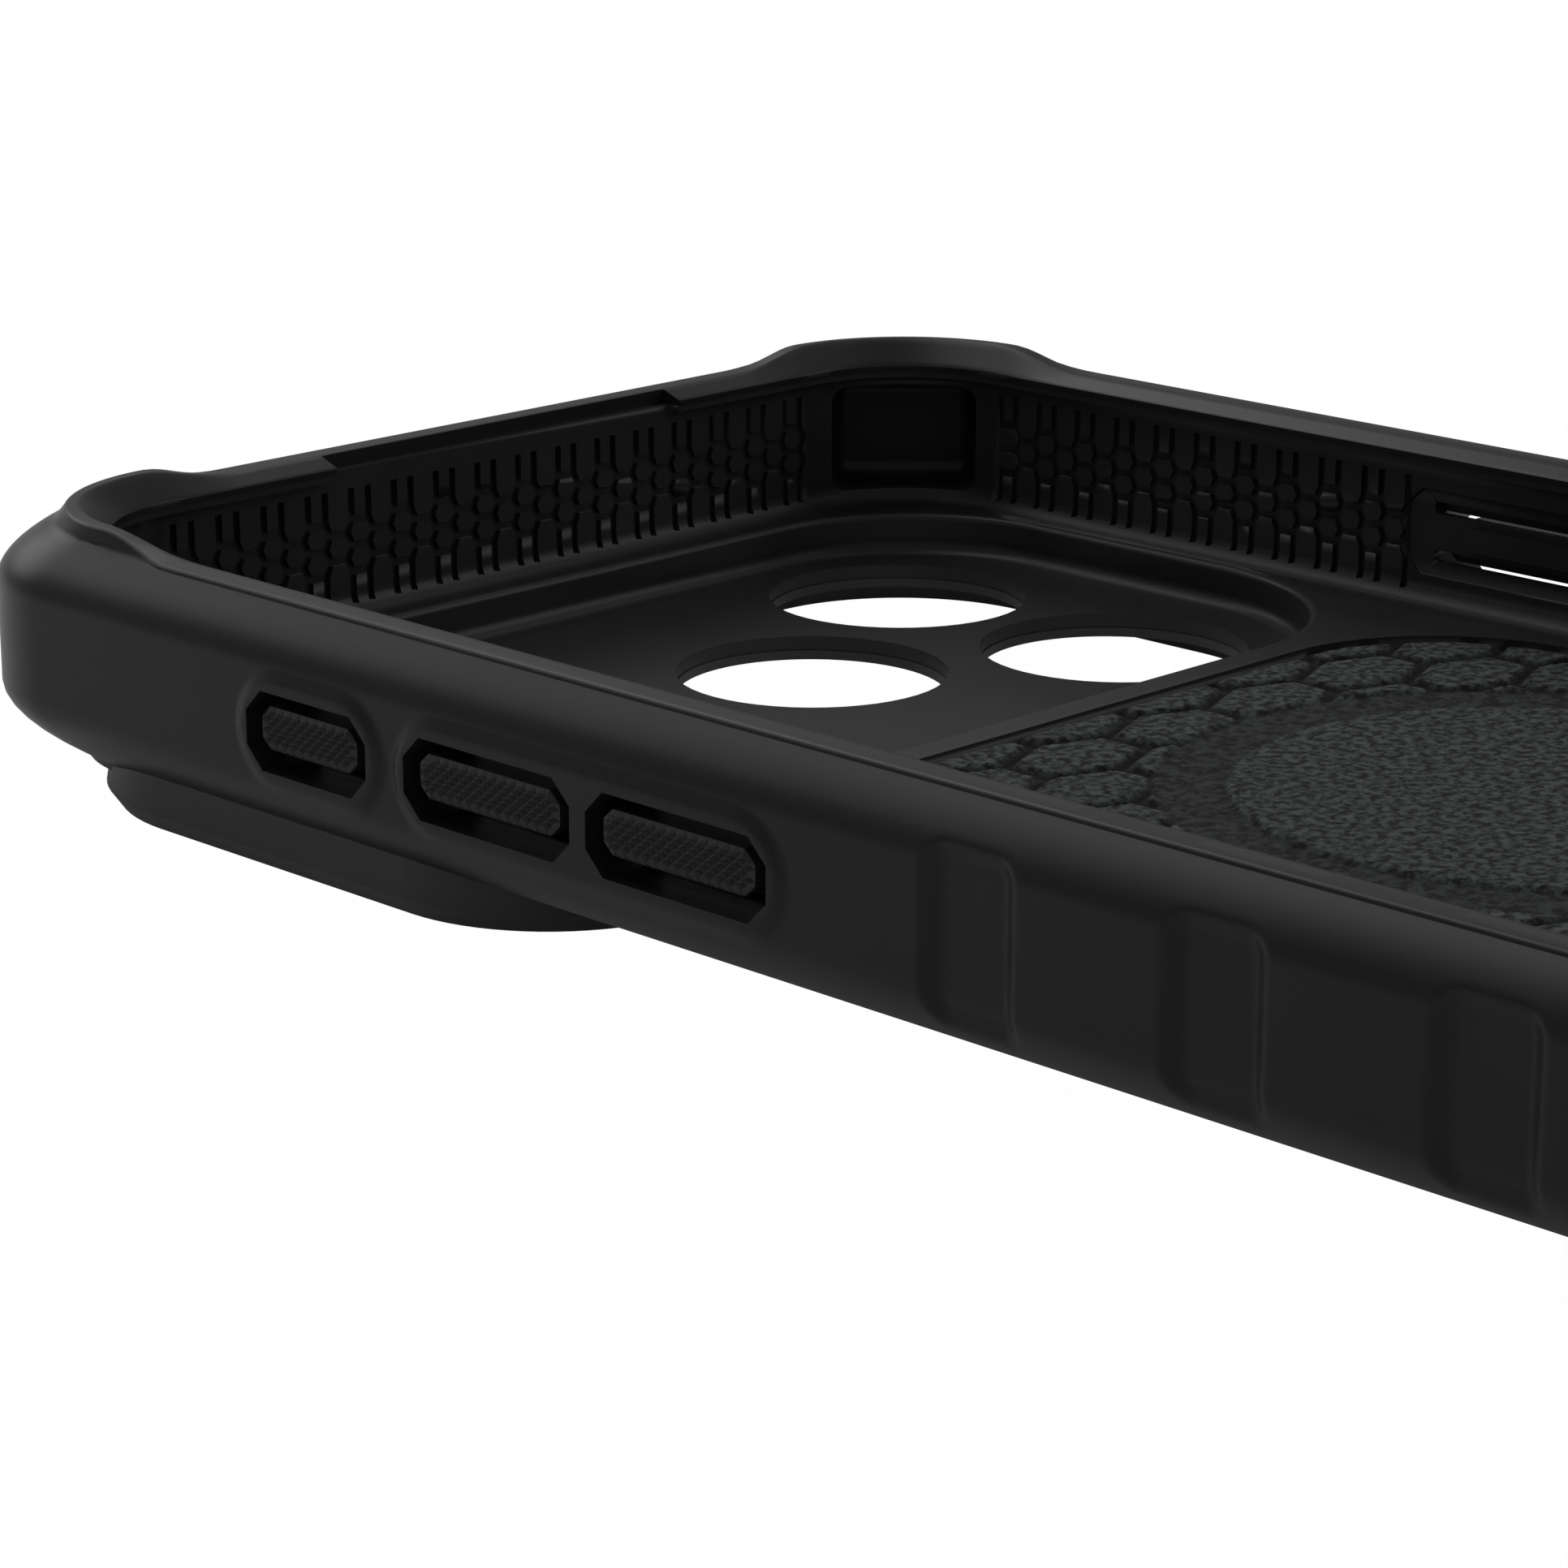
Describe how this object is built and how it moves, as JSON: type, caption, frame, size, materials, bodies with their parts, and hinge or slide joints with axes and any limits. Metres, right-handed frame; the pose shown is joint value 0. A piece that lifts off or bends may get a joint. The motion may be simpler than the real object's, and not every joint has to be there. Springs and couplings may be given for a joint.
{
  "type": "phone case",
  "caption": "Rugged two-layer phone case with raised corners, knurled buttons, magnet ring, fabric lining and a raised camera guard.",
  "frame": {"origin": "middle of the case's underside, on the lowest face of the camera guard", "axes": "+X towards the side-button wall, +Y towards the camera end, +Z out of the open front"},
  "size_m": [0.082, 0.1596, 0.0165],
  "materials": {
    "bumper_tpu": "fine matte moulded TPU",
    "liner_tpu": "soft matte moulded TPU",
    "plate_polycarbonate": "textured polycarbonate",
    "guard_polycarbonate": "textured polycarbonate",
    "button_plastic": "moulded diamond knurl",
    "microfibre": "embossed microfibre",
    "adhesive": "clear acrylic tape",
    "nickel_magnet": "nickel-plated magnet",
    "steel_shunt": "stamped mild steel"
  },
  "bodies": {
    "case": {"outer_frame": "bumper_tpu", "inner_liner": "liner_tpu", "back_plate": "plate_polycarbonate", "camera_guard": "guard_polycarbonate", "lining_pad": "microfibre", "lining_adhesive": "adhesive", "magnet_ring": "nickel_magnet", "magnet_shunt": "steel_shunt", "magnet_film": "adhesive", "alignment_magnet": "nickel_magnet"},
    "action_button": {"action_button_cap": "button_plastic", "action_button_presser": "liner_tpu"},
    "volume_up_button": {"volume_up_button_cap": "button_plastic", "volume_up_button_presser": "liner_tpu"},
    "volume_down_button": {"volume_down_button_cap": "button_plastic", "volume_down_button_presser": "liner_tpu"},
    "side_button": {"side_button_cap": "button_plastic", "side_button_presser": "liner_tpu"}
  },
  "joints": [
    {"name": "action_button_press", "type": "slide", "parent": "case", "child": "action_button", "axis": [1, 0, 0], "range_m": [0, 0.0004], "stiffness_N_per_m": 4000},
    {"name": "volume_up_button_press", "type": "slide", "parent": "case", "child": "volume_up_button", "axis": [1, 0, 0], "range_m": [0, 0.0004], "stiffness_N_per_m": 4000},
    {"name": "volume_down_button_press", "type": "slide", "parent": "case", "child": "volume_down_button", "axis": [1, 0, 0], "range_m": [0, 0.0004], "stiffness_N_per_m": 4000},
    {"name": "side_button_press", "type": "slide", "parent": "case", "child": "side_button", "axis": [-1, 0, 0], "range_m": [0, 0.0004], "stiffness_N_per_m": 4000}
  ]
}
